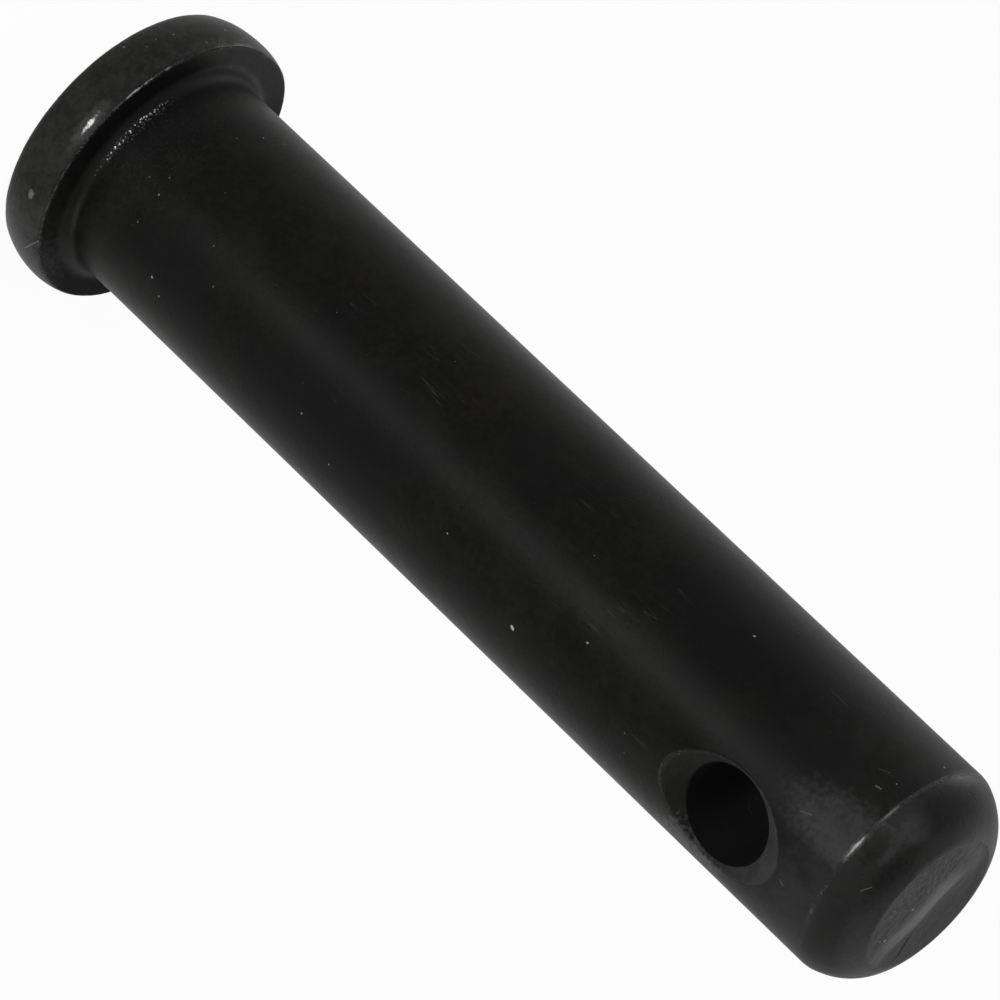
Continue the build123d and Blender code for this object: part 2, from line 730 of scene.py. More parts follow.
@dataclass(frozen=True)
class CrossHole:
    """The drilled cross hole with its saddle-edged countersink at each end.

    Args:
        sizes: the pin's sizes.
        blend: how far the countersink's outer edge is rounded over.
        lip: rounding where the countersink meets the bore.
        outer_rings: rings between the window's frame and the countersink's edge.
        crowding: how much closer those rings lie near the edge.
        edge_rings: rings over the edge, as blends outside it and edge shares.
        sink_rings: rings down the countersink.
        lip_rings: rings over the lip.
        bore_rings: rings through the bore.
        tries: steps in which the countersink's edge is found.
        stride: share of the way that each of them goes.
    """

    sizes: PinSizes
    blend: float = 0.07 * MM
    lip: float = 0.05 * MM
    outer_rings: int = 12
    crowding: float = 1.5
    edge_rings: tuple[Point2, ...] = (
        (2.0, 0.0),
        (1.2, 0.5),
        (0.6, 0.9),
        (0.0, 1.0),
        (-0.6, 0.9),
        (-1.2, 0.5),
    )
    sink_rings: int = 8
    lip_rings: int = 4
    bore_rings: int = 24
    tries: int = 60
    stride: float = 0.6

    def edge_reach(self, cosine: float) -> float:
        """Find where the countersink's cone meets the shank, by drawing near to it step by step.

        Args:
            cosine: cosine of the direction, from straight across the pin.

        Returns:
            The distance from the hole's axis to the countersink's edge.
        """
        s = self.sizes
        reach = s.hole
        for _ in range(self.tries):
            crest = math.sqrt(s.shank**2 - (reach * cosine) ** 2)
            reach += self.stride * (s.hole + (crest - s.bore_half) * s.sink_slope - reach)
        return reach

    def blend_near(self, edge: float) -> float:
        """Rounding of the outer edge where the countersink is as wide as this, narrower at its waist."""
        return min(self.blend, (edge - self.sizes.hole) / 5)

    def surface(self, reach: float, spoke: Spoke) -> float:
        """Find the surface near the hole.

        Args:
            reach: distance from the hole's axis.
            spoke: the spoke that the place is on.

        Returns:
            Its distance from the pin's middle plane, along the hole's axis.
        """
        s = self.sizes
        shank = math.sqrt(s.shank**2 - (reach * spoke.cosine) ** 2)
        sink = s.bore_half + (reach - s.hole) / s.sink_slope
        blend = self.blend_near(spoke.edge)
        near = max(0.0, 1 - abs(shank - sink) / blend)
        return min(shank, sink) - near * near * blend / 4

    def spoke(self, place: Triple) -> Spoke:
        """Lay out the spoke that starts at a vertex of the window's frame.

        Args:
            place: where that vertex is.

        Returns:
            The spoke, down to the mouth of the bore.
        """
        s = self.sizes
        across, rise = place[1], place[2] - s.hole_height
        reach = math.hypot(across, rise)
        edge = self.edge_reach(across / reach)
        blend = self.blend_near(edge)
        rings = []
        for k in range(1, self.outer_rings):
            share = (1 - k / self.outer_rings) ** self.crowding
            rings.append((edge + 2 * blend + (reach - edge - 2 * blend) * share, Zone.SHANK, 0.0))
        for step, worn in self.edge_rings:
            rings.append((edge + step * blend, Zone.SHANK if step > 0 else Zone.COUNTERSINK, worn))
        start, stop = edge - 2 * blend, s.hole + self.lip
        for k in range(self.sink_rings + 1):
            rings.append((start + (stop - start) * k / self.sink_rings, Zone.COUNTERSINK, 0.0))
        return Spoke(across / reach, rise / reach, edge, rings)

    def patch(self, draft: SurfaceDraft, loop: list[int], mirrored: bool) -> list[int]:
        """Fill one window from its frame to the mouth of the bore.

        Args:
            draft: the mesh so far.
            loop: vertices round the window.
            mirrored: true at the hole's -X end.

        Returns:
            The vertices of the mouth of the bore.
        """
        s = self.sizes
        side = -1.0 if mirrored else 1.0
        spokes = [self.spoke(draft.places[number]) for number in loop]
        layers = []
        for k in range(len(spokes[0].rings)):
            layers.append([(self.surface(spoke.rings[k][0], spoke), *spoke.rings[k]) for spoke in spokes])
        for k in range(1, self.lip_rings + 1):
            t = k / self.lip_rings
            reach = s.hole + self.lip * (1 - t) ** 2
            depth = s.bore_half + self.lip * ((1 - t) ** 2 / s.sink_slope - t * t)
            layers.append([(depth, reach, Zone.BORE, 0.5 * (1 - t))] * len(spokes))
        previous = loop
        for layer in layers:
            ring = []
            for spoke, (depth, reach, zone, worn) in zip(spokes, layer):
                place = (side * depth, reach * spoke.cosine, s.hole_height + reach * spoke.sine)
                ring.append(draft.add(place, zone, worn))
            draft.bridge(previous, ring, mirrored)
            previous = ring
        return previous

    def cut(self, draft: SurfaceDraft, loops: tuple[list[int], list[int]]) -> None:
        """Fill both windows and join them through the bore.

        Args:
            draft: the mesh so far.
            loops: vertices round the window at +X and round the one at -X.
        """
        near = self.patch(draft, loops[0], False)
        far = self.patch(draft, loops[1], True)
        previous = near
        for k in range(1, self.bore_rings):
            share = k / self.bore_rings
            ring = []
            for a, b in zip(near, far):
                mixed = Vector(draft.places[a]).lerp(Vector(draft.places[b]), share)
                ring.append(draft.add(tuple(mixed), Zone.BORE))
            draft.bridge(previous, ring)
            previous = ring
        draft.bridge(previous, far)


@dataclass
class PinBody:
    """The whole pin as one closed mesh, with its worn edges and torn end.

    Args:
        sizes: the pin's sizes.
        columns: number of vertices round the pin, a multiple of four.
        window_columns: half the width, in columns, of the patch round each end of the cross hole.
        edge_wear: depth that handling took off the edges.
        wear_usual: share of that depth that is usual.
        wear_noise: how much it varies, and in how many patches to the metre.
        dents: knocks in the surface.
        swelling: where the head spread further.
        face: relief of the cut end.
        masks: the zones that the finish treats apart, by the name of their mask.
    """

    sizes: PinSizes
    columns: int = 240
    window_columns: int = 24
    edge_wear: float = 0.02 * MM
    wear_usual: float = 0.5
    wear_noise: tuple[Point2, ...] = ((0.7, 900.0), (0.5, 3300.0))
    dents: tuple[Dent, ...] = (
        Dent(-47.7, 56.35, 0.22, 0.07),
        Dent(-117.0, 39.9, 0.2, 0.03),
        Dent(-118.5, 31.2, 0.16, 0.02),
        Dent(-101.0, 2.6, 0.25, 0.05),
        Dent(63.0, 1.4, 0.3, 0.05),
        Dent(151.0, 22.0, 0.25, 0.03),
        Dent(104.0, 56.4, 0.3, 0.06),
    )
    swelling: Swelling = Swelling()
    face: ShearedFace = ShearedFace()
    masks: tuple[tuple[str, tuple[Zone, ...]], ...] = (
        ("cut", (Zone.CUT_END,)),
        ("drilled", (Zone.COUNTERSINK, Zone.BORE)),
        ("bore", (Zone.BORE,)),
        ("point", (Zone.POINT,)),
    )

    def build(self) -> bpy.types.Object:
        """Make the mesh and its object.

        Returns:
            The pin's object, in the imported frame's place.
        """
        outline = TurnedOutline(self.sizes)
        stations = outline.stations()
        draft = SurfaceDraft()
        half = outline.window_half + outline.row_pitch / 100
        middle = self.sizes.hole_height
        inside = [s.zone is Zone.SHANK and abs(s.height - middle) < half for s in stations]
        rows = [i for i, wanted in enumerate(inside) if wanted]
        grid = self.turned_grid(draft, stations, rows)
        self.close_ends(draft, grid)
        loops = (self.window_loop(grid, rows, False), self.window_loop(grid, rows, True))
        CrossHole(self.sizes).cut(draft, loops)
        return self.to_object(draft)

    def in_window(self, column: int, margin: int) -> bool:
        """Tell whether a column lies inside either patch's width.

        Args:
            column: the column's number.
            margin: columns to leave out at each side.

        Returns:
            True inside.
        """
        half = self.columns // 2
        offset = (column + half // 2) % half - half // 2
        return abs(offset) <= self.window_columns - margin

    def turned_grid(self, draft: SurfaceDraft, stations: list[Station], rows: list[int]) -> list[list[int]]:
        """Add the turned surface, with a window left open at each end of the cross hole.

        Args:
            draft: the mesh so far.
            stations: the outline's rings.
            rows: numbers of the rings that bound and cross the windows.

        Returns:
            The vertices' numbers by ring and column, with -1 inside the windows.
        """
        grid: list[list[int]] = []
        for i, s in enumerate(stations):
            ring: list[int] = []
            for j in range(self.columns):
                if rows[0] < i < rows[-1] and self.in_window(j, 1):
                    ring.append(-1)
                    continue
                turn = 2 * math.pi * j / self.columns
                place = (s.radius * math.cos(turn), s.radius * math.sin(turn), s.height)
                ring.append(draft.add(place, s.zone, s.edge))
            grid.append(ring)
        for i in range(len(stations) - 1):
            for j in range(self.columns):
                after = (j + 1) % self.columns
                inside = rows[0] <= i < rows[-1] and self.in_window(j, 0) and self.in_window(after, 0)
                if not inside:
                    draft.faces.append((grid[i][j], grid[i][after], grid[i + 1][after], grid[i + 1][j]))
        return grid

    def close_ends(self, draft: SurfaceDraft, grid: list[list[int]]) -> None:
        """Close the head's outer face and the cut end with a fan each.

        Args:
            draft: the mesh so far.
            grid: the vertices' numbers by ring and column.
        """
        bottom = draft.add((0.0, 0.0, 0.0), Zone.HEAD)
        top = draft.add((0.0, 0.0, self.sizes.end), Zone.CUT_END)
        for j in range(self.columns):
            after = (j + 1) % self.columns
            draft.faces.append((grid[0][after], grid[0][j], bottom))
            draft.faces.append((grid[-1][j], grid[-1][after], top))

    def window_loop(self, grid: list[list[int]], rows: list[int], mirrored: bool) -> list[int]:
        """List the vertices round a window, anticlockwise seen from +X.

        Args:
            grid: the vertices' numbers by ring and column.
            rows: numbers of the rings that bound and cross the windows.
            mirrored: true for their mirror images at -X.

        Returns:
            The vertices' numbers in order.
        """
        w, half = self.window_columns, self.columns // 2
        across = list(range(-w, w))
        loop = [(rows[0], k) for k in across] + [(i, w) for i in rows[:-1]]
        loop += [(rows[-1], -k) for k in across] + [(i, -w) for i in reversed(rows[1:])]
        return [grid[i][(half - k if mirrored else k) % self.columns] for i, k in loop]

    def to_object(self, draft: SurfaceDraft) -> bpy.types.Object:
        """Turn the draft into a smooth-shaded object with its masks.

        Args:
            draft: the finished draft.

        Returns:
            The object, not yet dressed.
        """
        mesh = bpy.data.meshes.new("pin_body")
        mesh.from_pydata(draft.places, [], draft.faces)
        mesh.update()
        self.weather(mesh, draft)
        for polygon in mesh.polygons:
            polygon.use_smooth = True
        add_mask(mesh, "edge", np.array(draft.edges))
        for name, zones in self.masks:
            add_mask(mesh, name, np.array([zone in zones for zone in draft.zones]))
        return add_object("pin_body", mesh)

    def wear(self, places: np.ndarray, edges: np.ndarray) -> np.ndarray:
        """Find what handling and knocks took off the surface.

        Args:
            places: each vertex's place.
            edges: how close each is to an exposed edge, from 0 to 1.

        Returns:
            The depth at each vertex.
        """
        depth = np.zeros(len(places))
        for k in np.nonzero(edges)[0]:
            here = Vector(places[k])
            noises = (size * noise.noise(here * scale) for size, scale in self.wear_noise)
            depth[k] = self.edge_wear * edges[k] * max(0.0, sum(noises, self.wear_usual))
        for dent in self.dents:
            depth += dent.shift(places)
        return depth

    def weather(self, mesh: bpy.types.Mesh, draft: SurfaceDraft) -> None:
        """Wear the edges, knock in the dents, spread the head and tear the cut end.

        Args:
            mesh: the mesh with its even surface.
            draft: what the mesh was made from.
        """
        count = len(mesh.vertices)
        places, normals = np.empty(count * 3), np.empty(count * 3)
        mesh.vertices.foreach_get("co", places)
        mesh.vertices.foreach_get("normal", normals)
        places, normals = places.reshape(-1, 3), normals.reshape(-1, 3)
        moved = places - normals * self.wear(places, np.array(draft.edges))[:, None]
        moved += self.swelling.shift(places)
        moved += self.face.drag(places, self.sizes.point_start, self.sizes.point_length)
        cut = np.array([zone is Zone.CUT_END for zone in draft.zones])
        # The first mask is the cut end's lighter stripe: partly the blade's burnishing, partly painted
        # sheen.
        for name, found in (("burnish", self.face.burnish_and_sheen_share), ("torn", self.face.torn)):
            values = np.zeros(count)
            values[cut] = found(moved[cut])
            add_mask(mesh, name, values)
        moved[cut, 2] -= self.face.drop(moved[cut])
        mesh.vertices.foreach_set("co", moved.ravel())
        mesh.update()


# ---------------------------------------------------------------- finishes


class Wiring:
    """Adds nodes to a tree, links them, and keeps the sockets that are used again by name.

    Where a method takes a value, that is a number, a vector, a colour, a socket or a kept socket's name.
    """

    def __init__(self, tree: bpy.types.NodeTree) -> None:
        """Start with an empty tree.

        Args:
            tree: the node tree that gets the nodes.
        """
        self.tree = tree
        self.kept: dict[str, Socket] = {}
        tree.nodes.clear()

    def node(self, kind: str, **settings: object) -> bpy.types.Node:
        """Add a node.

        Args:
            kind: Blender's name for the kind of node.
            settings: the properties to set on it.

        Returns:
            The node.
        """
        made = self.tree.nodes.new(kind)
        for name, value in settings.items():
            setattr(made, name, value)
        return made

    def feed(self, socket: Socket, value: Value) -> None:
        """Link a socket to another, or set its value.

        Args:
            socket: the input to feed.
            value: what it gets.
        """
        found = self.kept[value] if isinstance(value, str) else value
        if isinstance(found, Socket):
            self.tree.links.new(found, socket)
        else:
            socket.default_value = found

    def feed_all(self, node: bpy.types.Node, values: dict[str, Value]) -> bpy.types.Node:
        """Feed a node's inputs by their names.

        Args:
            node: the node.
            values: what each input gets.

        Returns:
            The node.
        """
        for name, value in values.items():
            self.feed(node.inputs[name], value)
        return node

    def fed(self, kind: str, *values: Value, **settings: object) -> bpy.types.Node:
        """Add a node and feed its inputs in order.

        Args:
            kind: Blender's name for the kind of node.
            values: what its inputs get.
            settings: the properties to set on it.

        Returns:
            The node.
        """
        made = self.node(kind, **settings)
        for socket, value in zip(made.inputs, values):
            self.feed(socket, value)
        return made

    def math(self, operation: str, *values: Value, clamp: bool = False) -> Socket:
        """Return the outcome of a maths node."""
        return self.fed("ShaderNodeMath", *values, operation=operation, use_clamp=clamp).outputs[0]

    def vector(self, operation: str, *values: Value) -> bpy.types.Node:
        """Return a vector maths node."""
        return self.fed("ShaderNodeVectorMath", *values, operation=operation)

    def chain(self, operation: str, *values: Value) -> Socket:
        """Put several values together, one after the other.

        Args:
            operation: how two of them are put together.
            values: the values, in order.

        Returns:
            The outcome.
        """
        found = values[0]
        for value in values[1:]:
            found = self.math(operation, found, value)
        return found

    def total(self, *values: Value) -> Socket:
        """Return the sum of several values."""
        return self.chain("ADD", *values)

    def times(self, *values: Value) -> Socket:
        """Return the product of several values."""
        return self.chain("MULTIPLY", *values)

    def greatest(self, *values: Value) -> Socket:
        """Return the greatest of several values."""
        return self.chain("MAXIMUM", *values)

    def plus(self, base: Value, value: Value, factor: Value) -> Socket:
        """Return base plus value times factor."""
        return self.math("MULTIPLY_ADD", value, factor, base)

    def without(self, value: Value, share: Value) -> Socket:
        """Return the value less this share of it, from 0 to 1."""
        return self.math("MULTIPLY", value, self.math("SUBTRACT", 1.0, share), clamp=True)

    def ramp(self, value: Value, low: float, high: float, start: Value = 0.0, stop: Value = 1.0) -> Socket:
        """Ease a value from one range to another and stop at its ends.

        Args:
            value: the value.
            low: the value that gives start.
            high: the value that gives stop.
            start: outcome at and before low.
            stop: outcome at and after high.

        Returns:
            The outcome.
        """
        made = self.fed("ShaderNodeMapRange", value, low, high, start, stop, interpolation_type="SMOOTHSTEP")
        return made.outputs[0]

    def noise(self, pitch: float, detail: float, roughness: float, place: Value = "place") -> Socket:
        """Make a noise from 0 to 1.

        Args:
            pitch: about how wide its patches are.
            detail: how many finer layers it has.
            roughness: how strong those are.
            place: where it is read.

        Returns:
            The noise.
        """
        values = {"Vector": place, "Scale": 1 / pitch, "Detail": detail, "Roughness": roughness}
        return self.feed_all(self.node("ShaderNodeTexNoise"), values).outputs["Fac"]

    def cells(self, pitch: float) -> bpy.types.Node:
        """Return a pattern of cells about this wide, which tells distances and a random colour."""
        return self.feed_all(self.node("ShaderNodeTexVoronoi"), {"Vector": "place", "Scale": 1 / pitch})

    def stretched(self, factors: Triple, turn: Triple = (0.0, 0.0, 0.0)) -> Socket:
        """Turn the place and scale it along each axis.

        Args:
            factors: how much it is scaled along each axis.
            turn: how far it is turned about each axis, in degrees.

        Returns:
            The new place.
        """
        angles = tuple(math.radians(v) for v in turn)
        values = {"Vector": "place", "Rotation": angles, "Scale": factors}
        return self.feed_all(self.node("ShaderNodeMapping"), values).outputs["Vector"]

    def tint(self, share: Value, first: Value, second: Value) -> Socket:
        """Mix two colours.

        Args:
            share: how much of the second there is, from 0 to 1.
            first: the first colour.
            second: the second colour.

        Returns:
            The mixed colour.
        """
        made = self.node("ShaderNodeMix", data_type="RGBA")
        self.feed(made.inputs[0], share)
        for socket, colour in ((made.inputs[6], first), (made.inputs[7], second)):
            self.feed(socket, (*colour, 1.0) if isinstance(colour, tuple) else colour)
        return made.outputs[2]

    def shown(self) -> Socket:
        """Tell who looks at the background.

        Returns:
            1 where the camera, a shiny surface or a clear one sees it, and 0 for its light.
        """
        path = self.node("ShaderNodeLightPath")
        return self.total(*(path.outputs[f"Is {kind} Ray"] for kind in ("Camera", "Glossy", "Transmission")))

    def close(self, kind: str, surface: bpy.types.Node) -> None:
        """Add the tree's output and give it its surface."""
        self.feed(self.node(kind).inputs["Surface"], surface.outputs[0])


def fresh_material(name: str) -> tuple[bpy.types.Material, Wiring]:
    """Make a material with an empty tree.

    Args:
        name: the material's name.

    Returns:
        The material and the wiring of its tree.
    """
    material = bpy.data.materials.new(name)
    material.use_nodes = True
    return material, Wiring(material.node_tree)


@dataclass(frozen=True)
class Lint:
    """A fibre or a speck of dust that lies on the pin, given in degrees and millimetres.

    Args:
        start: (azimuth, height, distance from the axis) of one end.
        stop: the same for the other end.
        thickness: half its width.
        cover: how much of the surface under it it hides, from 0 to 1.
        soft: where its edge starts and ends, as shares of half its width.
    """

    start: Triple
    stop: Triple
    thickness: float
    cover: float
    soft: Point2 = (0.5, 1.3)

    def ends(self) -> tuple[Vector, Vector]:
        """Find both ends.

        Returns:
            Their places.
        """
        found = []
        for azimuth, height, radius in (self.start, self.stop):
            turn, away = math.radians(azimuth), radius * MM
            found.append(Vector((away * math.cos(turn), away * math.sin(turn), height * MM)))
        return found[0], found[1]

    def share(self, wiring: Wiring) -> Socket:
        """Find how much of it covers a place.

        Args:
            wiring: the finish's nodes.

        Returns:
            The share, from 0 to 1.
        """
        start, stop = self.ends()
        run = stop - start
        offset = wiring.vector("SUBTRACT", "place", start).outputs["Vector"]
        along = wiring.vector("DOT_PRODUCT", offset, run / max(run.length_squared, 1e-12)).outputs["Value"]
        along = wiring.math("MULTIPLY", along, 1.0, clamp=True)
        nearest = wiring.vector("SCALE", run)
        wiring.feed(nearest.inputs["Scale"], along)
        gap = wiring.vector("DISTANCE", offset, nearest.outputs["Vector"]).outputs["Value"]
        inner, outer = (share * (self.thickness * MM) for share in self.soft)
        return wiring.ramp(gap, inner, outer, self.cover, 0.0)


@dataclass(frozen=True)
class Patch:
    """A patch of the surface that looks different, given in degrees and millimetres.

    Args:
        azimuth: degrees round the pin from +X.
        height: height over the head's outer face.
        radius: distance from the pin's axis.
        length: half its length round the pin.
        width: half its width along the pin.
        strength: how strong it is in its middle, from 0 to 1.
        ragged: how uneven its outline is, as a share of its size.
        least: the least that it reaches towards the pin's axis and away from it.
    """

    azimuth: float
    height: float
    radius: float
    length: float
    width: float
    strength: float = 1.0
    ragged: float = 0.5
    least: float = 0.15

    def share(self, wiring: Wiring) -> Socket:
        """Find how strongly a place belongs to the patch.

        Args:
            wiring: the finish's nodes.

        Returns:
            The share, from 0 to 1.
        """
        turned = wiring.math("SUBTRACT", "turn", math.radians(self.azimuth))
        parts = (
            (wiring.times(turned, self.radius * MM), self.length),
            (wiring.math("SUBTRACT", "height", self.height * MM), self.width),
            (wiring.math("SUBTRACT", "radius", self.radius * MM), max(self.width, self.least)),
        )
        shares = [wiring.math("DIVIDE", part, size * MM) for part, size in parts]
        squares = [wiring.times(share, share) for share in shares]
        found = wiring.total(*squares, wiring.times("broken", self.ragged))
        return wiring.ramp(found, 0.0, 1.0, self.strength, 0.0)


class Measure(Enum):
    """What a band is measured along."""

    HEIGHT = "height"
    RADIUS = "radius"
    NORTH = "north"


@dataclass(frozen=True)
class Band:
    """A band over which something eases in or out, given in millimetres.

    Args:
        measure: what it is measured along.
        low: where it starts.
        high: where it ends.
        start: how much there is before it.
        stop: how much there is after it.
    """

    measure: Measure
    low: float
    high: float
    start: float = 0.0
    stop: float = 1.0

    def share(self, wiring: Wiring) -> Socket:
        """How much there is at a place."""
        return wiring.ramp(self.measure.value, self.low * MM, self.high * MM, self.start, self.stop)


@dataclass(frozen=True)
class BlackOxide:
    """Blackened steel: near black, satin, a little rough where it was forged, sheared and drilled.

    Args:
        name: the material's name.
        masks: the mesh's masks that the material reads.
        black: the oxide's usual colour.
        warm: its colour where it is thin.
        cool: its colour where it is oiled.
        torn: its colour on the cut end.
        forged: its colour on the head's rim.
        drilled: its colour in the cross hole's countersink.
        bore: its colour inside the cross hole, kept near black and far darker than the countersink: painted
            shade.
        burnish: colour of the lighter stripe across the cut end, partly the shear blade's burnishing and
            partly painted sheen.
        haze_and_sheen: lighter grey laid towards the end of the shank, all over the point and in a few
            patches: painted sheen where highlights and reflections fall, partly a greyer oxide near the
            point.
        steel: colour of the steel that shows where the oxide is worn through, also in the spots laid on the
            lamp glints.
        dust: colour of dust and fibres.
        torn_least: least share of the torn colour on the cut end, and how much less it is in the torn grain.
        torn_levels: levels of the grain between which the torn colour comes in.
        ior: index of refraction of the oiled surface.
        roughness: usual roughness.
        rough_spread: how much the roughness varies from patch to patch, in small patches and in wide ones.
        dust_rough: roughness of the dust.
        rougher: how much rougher each stretch is, in order, or the kept value that says so.
        smoother: how much smoother the fillet is where the oxide is worn through.
        textures: pitch in millimetres, detail and roughness of each noise.
        levels: shares read from a texture: its name, and the levels between which the share eases from its
            start to its stop.
        bands: the stretches that ease in and out, each the product of its bands.
        grain: height of the oxide's grain.
        bead_pitch: width of the small beads that the oxide grew in.
        bead: height of the beads.
        mottle: height of the shallow unevenness.
        pit_pitch: spacing of the pits.
        pit: depth of the pits.
        pit_size: radius of the pits, as a share of their spacing.
        torn_coarse: how much coarser the grain is where the cut end is torn.
        bore_smooth: how much of it the bore lacks.
        tool_pitch: width of the drill's marks.
        tool_stretch: how they are stretched round the hole.
        tool_mark: height of the drill's marks.
        tool_rubbed: how much of it the bore lacks.
        speck: height of the dust.
        dust_pitch: spacing of the places where a grain of dust may lie.
        dust_rarity: share of them that stay empty.
        dust_size: largest radius of a grain, as a share of the spacing.
        dust_cover: how much a grain hides at least, and how much more it may.
        tip_haze_and_sheen: lighter grey towards the end of the shank: partly a greyer oxide, partly painted
            sheen.
        neck_painted_light: lighter grey at the foot of the shank: painted light that lifts its shade.
        point_haze_and_sheen: lighter grey all over the rounded point: partly a greyer oxide, partly painted
            sheen.
        edge_rub: how bright the worn edges are.
        hole_rub: how much of that the edges of the cross hole lack.
        scratch_rub: how bright the fine scratches are.
        scratch_width: how thin they are, as levels of the texture that they follow.
        scratch_stretch: how the texture is stretched along them.
        scratches: turn in degrees and pitch in millimetres of each set of scratches.
        rubbed_and_glints: spots worn to bare steel, laid and shaped on the lamp glints with faint halos
            round them: partly wear, partly painted glints.
        crests: strips where only the tops of the beads are worn bright, laid along the lines of sparkle:
            partly wear, partly painted glints.
        sheen_patches: patches of the shank near the point, of the rim's lower side and of the countersink
            laid lighter: painted highlight and painted reflection.
        point_sheen_patches: patches laid lighter on the rounded point where the lamps' highlights fall:
            painted highlight.
        painted_shade_patches: patches where the lighter grey is taken away again, leaving the point darkest
            where it reflects shade: painted shade.
        fibres: fibres and long specks.
        specks: azimuth, height, distance from the axis, half width and cover of each round speck.
    """

    name: str = "black_oxide"
    masks: tuple[str, ...] = ("edge", "cut", "drilled", "bore", "point", "burnish", "torn")
    black: Triple = (0.0007, 0.0007, 0.0005)
    warm: Triple = (0.0030, 0.0028, 0.0021)
    cool: Triple = (0.0014, 0.0015, 0.0016)
    forged: Triple = (0.0130, 0.0129, 0.0118)
    drilled: Triple = (0.0210, 0.0217, 0.0211)
    # Painted shade: the bore is kept near black, darker than the countersink.
    bore: Triple = (0.0014, 0.0015, 0.0013)
    torn: Triple = (0.0205, 0.0209, 0.0203)
    # Partly the blade's burnishing, partly painted sheen: the cut end's lighter stripe.
    burnish: Triple = (0.088, 0.0885, 0.087)
    # Painted sheen, partly a greyer oxide near the point.
    haze_and_sheen: Triple = (0.030, 0.0308, 0.0302)
    steel: Triple = (0.30, 0.30, 0.29)
    dust: Triple = (0.34, 0.34, 0.31)
    torn_least: Point2 = (0.75, 0.7)
    torn_levels: Point2 = (0.9, 1.12)
    ior: float = 1.15
    roughness: float = 0.41
    rough_spread: Point2 = (0.16, 0.10)
    dust_rough: float = 0.8
    rougher: tuple[tuple[str, Value], ...] = (
        ("cut", 0.04),
        ("neck", 0.04),
        ("seat", 0.22),
        ("fillet", 0.2),
        ("fillet", "smoother"),
        ("tip", 0.06),
        ("drilled", 0.05),
        ("bore", 0.4),
        ("worn", -0.06),
    )
    smoother: float = -0.22
    textures: tuple[tuple[str, Triple], ...] = (
        ("grain", (0.10, 3.0, 0.65)),
        ("mottle", (1.6, 4.0, 0.65)),
        ("scale", (0.35, 4.0, 0.7)),
        ("waves", (1.3, 1.0, 0.5)),
        ("broad", (9.0, 2.0, 0.5)),
        ("raggedness", (0.3, 3.0, 0.6)),
        ("rubbing", (0.9, 3.0, 0.6)),
        ("rarity", (3.5, 1.0, 0.5)),
    )
    levels: tuple[tuple[str, str, float, float, float, float], ...] = (
        ("broken", "raggedness", 0.3, 0.7, -1.0, 1.0),
        ("patchy", "rubbing", 0.42, 0.62, 0.15, 1.0),
        ("rare", "rarity", 0.62, 0.72, 0.0, 1.0),
        ("grain_tops", "grain", 0.46, 0.60, 0.0, 1.0),
        ("spotty", "grain", 0.35, 0.6, 0.55, 1.0),
        ("bead_tops", "beads", 0.80, 0.95, 0.0, 0.9),
        # The next row breaks up the painted sheen.
        ("uneven_haze", "mottle", 0.3, 0.65, 0.6, 1.0),
        ("uneven_drilling", "mottle", 0.25, 0.7, 0.35, 1.0),
        ("streaky", "mottle", 0.25, 0.6, 0.4, 1.0),
        ("thin_oxide", "cloudy", 0.8, 1.25, 0.0, 1.0),
        ("scaly", "cloudy", 0.75, 1.25, 0.3, 1.0),
        ("oiled", "broad", 0.45, 0.65, 0.0, 1.0),
    )
    bands: tuple[tuple[str, tuple[Band, ...]], ...] = (
        ("neck", (Band(Measure.HEIGHT, 4.5, 7.0, 1.0, 0.0), Band(Measure.HEIGHT, 3.01, 3.2, 0.2))),
        (
            "seat",
            (
                Band(Measure.RADIUS, 6.4, 6.9),
                Band(Measure.HEIGHT, 2.97, 2.995),
                Band(Measure.NORTH, -6.5, 2.5, 0.25, 1.4),
            ),
        ),
        (
            "fillet",
            (
                Band(Measure.HEIGHT, 3.03, 3.15),
                Band(Measure.HEIGHT, 3.55, 3.9, 1.0, 0.0),
                Band(Measure.NORTH, -3.0, -5.0),
            ),
        ),
        ("tip", (Band(Measure.HEIGHT, 46.0, 57.0),)),
        ("rim", (Band(Measure.HEIGHT, 2.75, 2.98, 1.0, 0.0),)),
        ("near_end", (Band(Measure.HEIGHT, 57.0, 58.0, 1.0, 0.3),)),
        ("past_hole", (Band(Measure.HEIGHT, 48.0, 52.5, 0.12),)),
    )
    grain: float = 0.0058 * MM
    bead_pitch: float = 0.13 * MM
    bead: float = 0.003 * MM
    mottle: float = 0.02 * MM
    pit_pitch: float = MM / 1.3
    pit: float = 0.01 * MM
    pit_size: float = 0.16
    torn_coarse: float = 1.5
    bore_smooth: float = 0.8
    tool_pitch: float = 0.1 * MM
    tool_stretch: Triple = (1.0, 0.06, 0.06)
    tool_mark: float = 0.015 * MM
    tool_rubbed: float = 0.9
    speck: float = 0.02 * MM
    dust_pitch: float = 1.0 * MM
    dust_rarity: float = 0.6
    dust_size: float = 0.05
    dust_cover: Point2 = (0.08, 0.4)
    # Partly a greyer oxide, partly painted sheen.
    tip_haze_and_sheen: float = 0.11
    # Painted light: lifts the shade at the foot of the shank.
    neck_painted_light: float = 0.02
    # Partly a greyer oxide, partly painted sheen.
    point_haze_and_sheen: float = 0.32
    edge_rub: float = 0.10
    hole_rub: float = 0.7
    scratch_rub: float = 0.04
    scratch_width: float = 0.006
    scratch_stretch: Triple = (1.0, 1.0, 0.04)
    scratches: tuple[tuple[Triple, float], ...] = (((0.0, 14.0, 20.0), 0.5), ((55.0, 0.0, 35.0), 0.6))
